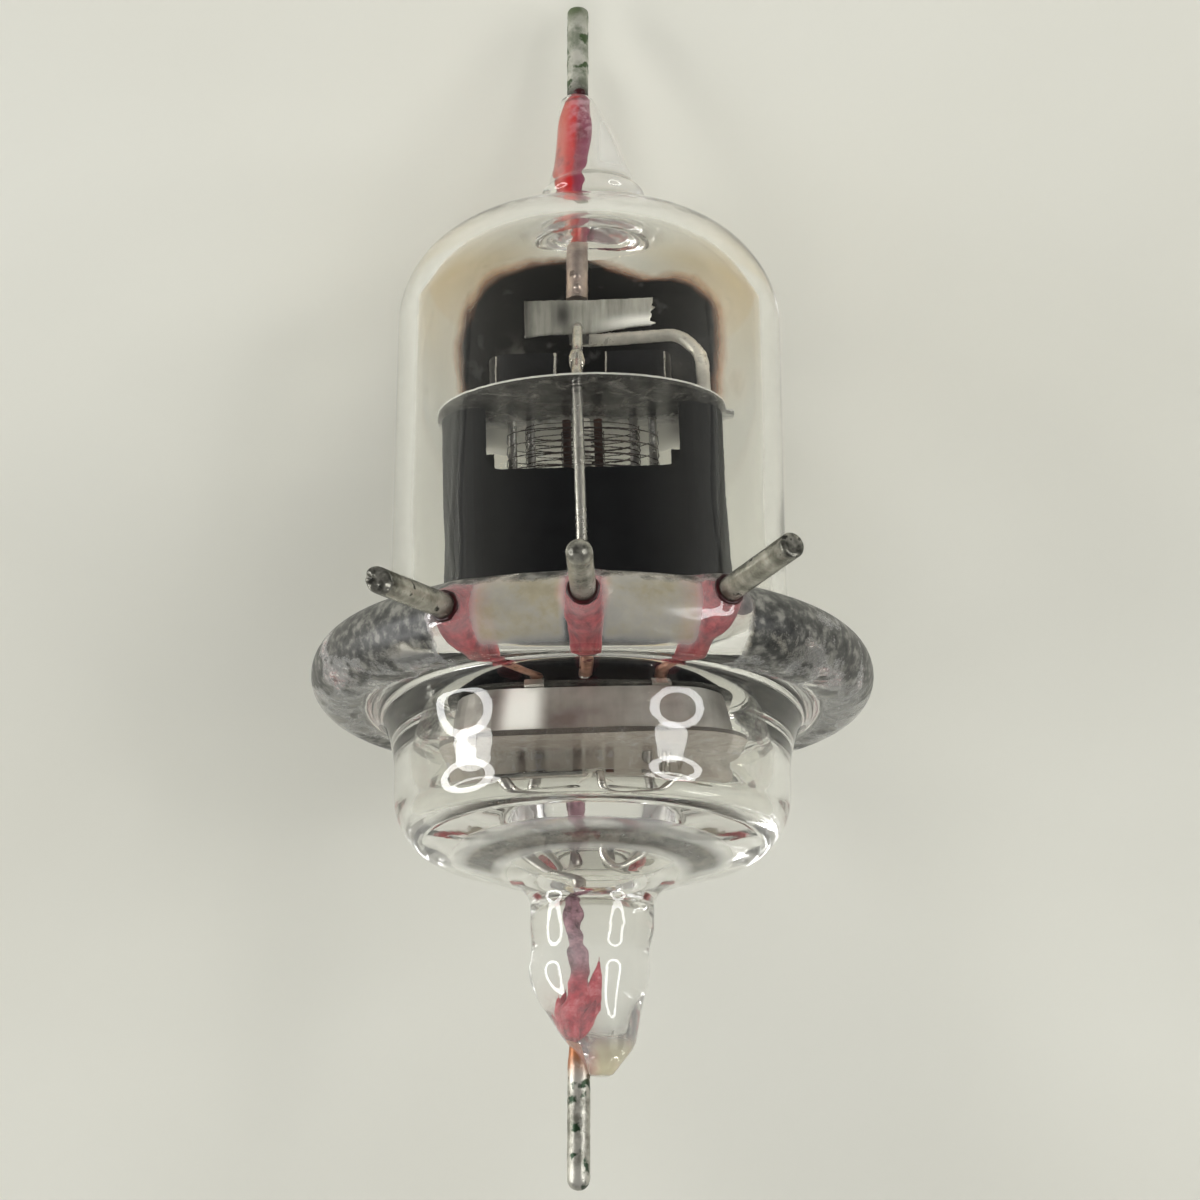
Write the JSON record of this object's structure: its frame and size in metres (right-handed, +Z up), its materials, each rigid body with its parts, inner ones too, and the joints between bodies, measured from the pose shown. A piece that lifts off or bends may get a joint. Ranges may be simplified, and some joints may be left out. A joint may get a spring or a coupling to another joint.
{
  "type": "acorn tube",
  "caption": "Small glass acorn vacuum tube with pins round its ring and at both ends, an oxidised cage of electrodes and a black getter mirror inside.",
  "frame": {"origin": "on the resting surface, in the middle of the tube's bounding box", "axes": "+Z up; +Y along the lying tube, towards the top pin; the three front pins point up"},
  "size_m": [0.02, 0.0418, 0.0252],
  "materials": {
    "glass": "clear blown glass, faintly warm, sooted on the ring",
    "pin_metal": "dull tinned nickel with dark spots",
    "copper_clad": "dark red oxide on copper-clad wire",
    "lead_wire": "coppery nickel",
    "black_anode": "matt carbonised black",
    "dark_shield": "dark oxidised nickel with bright edges",
    "grey_shield": "satin nickel with brown tints",
    "mica": "clear brownish mica, smoky in places",
    "white_coating": "chalky oxide coating",
    "getter_mirror": "black getter mirror with a brown edge",
    "fine_wire": "fine drawn wire",
    "bright_nickel": "bright rolled nickel",
    "dull_nickel": "dull grey nickel",
    "nickel_rod": "drawn nickel rod"
  },
  "bodies": {
    "root": {"glass_envelope": "glass", "pin_front": "pin_metal", "pin_left": "pin_metal", "pin_right": "pin_metal", "pin_rear_left": "pin_metal", "pin_rear_right": "pin_metal", "seal_front": "copper_clad", "seal_left": "copper_clad", "seal_right": "copper_clad", "seal_rear_left": "copper_clad", "seal_rear_right": "copper_clad", "lead_front": "lead_wire", "lead_left": "lead_wire", "lead_right": "lead_wire", "lead_rear_left": "lead_wire", "lead_rear_right": "lead_wire", "top_pin": "pin_metal", "top_seal": "copper_clad", "top_lead": "nickel_rod", "top_strip": "dull_nickel", "bottom_pin": "pin_metal", "bottom_seal": "copper_clad", "bottom_lead": "nickel_rod", "anode": "black_anode", "anode_rod_left": "nickel_rod", "anode_rod_right": "nickel_rod", "top_mica": "mica", "middle_mica": "mica", "bottom_mica": "mica", "top_shield": "dark_shield", "lower_shield": "grey_shield", "lead_clips": "bright_nickel", "cathode": "white_coating", "heater": "white_coating", "cathode_wire": "nickel_rod", "control_grid_rods": "nickel_rod", "control_grid_winding": "fine_wire", "screen_grid_rods": "nickel_rod", "screen_grid_winding": "fine_wire", "suppressor_grid_rods": "nickel_rod", "suppressor_grid_winding": "fine_wire", "grid_strap": "dull_nickel", "getter_flag": "bright_nickel", "getter_wire": "nickel_rod", "getter_film": "getter_mirror"}
  },
  "joints": []
}
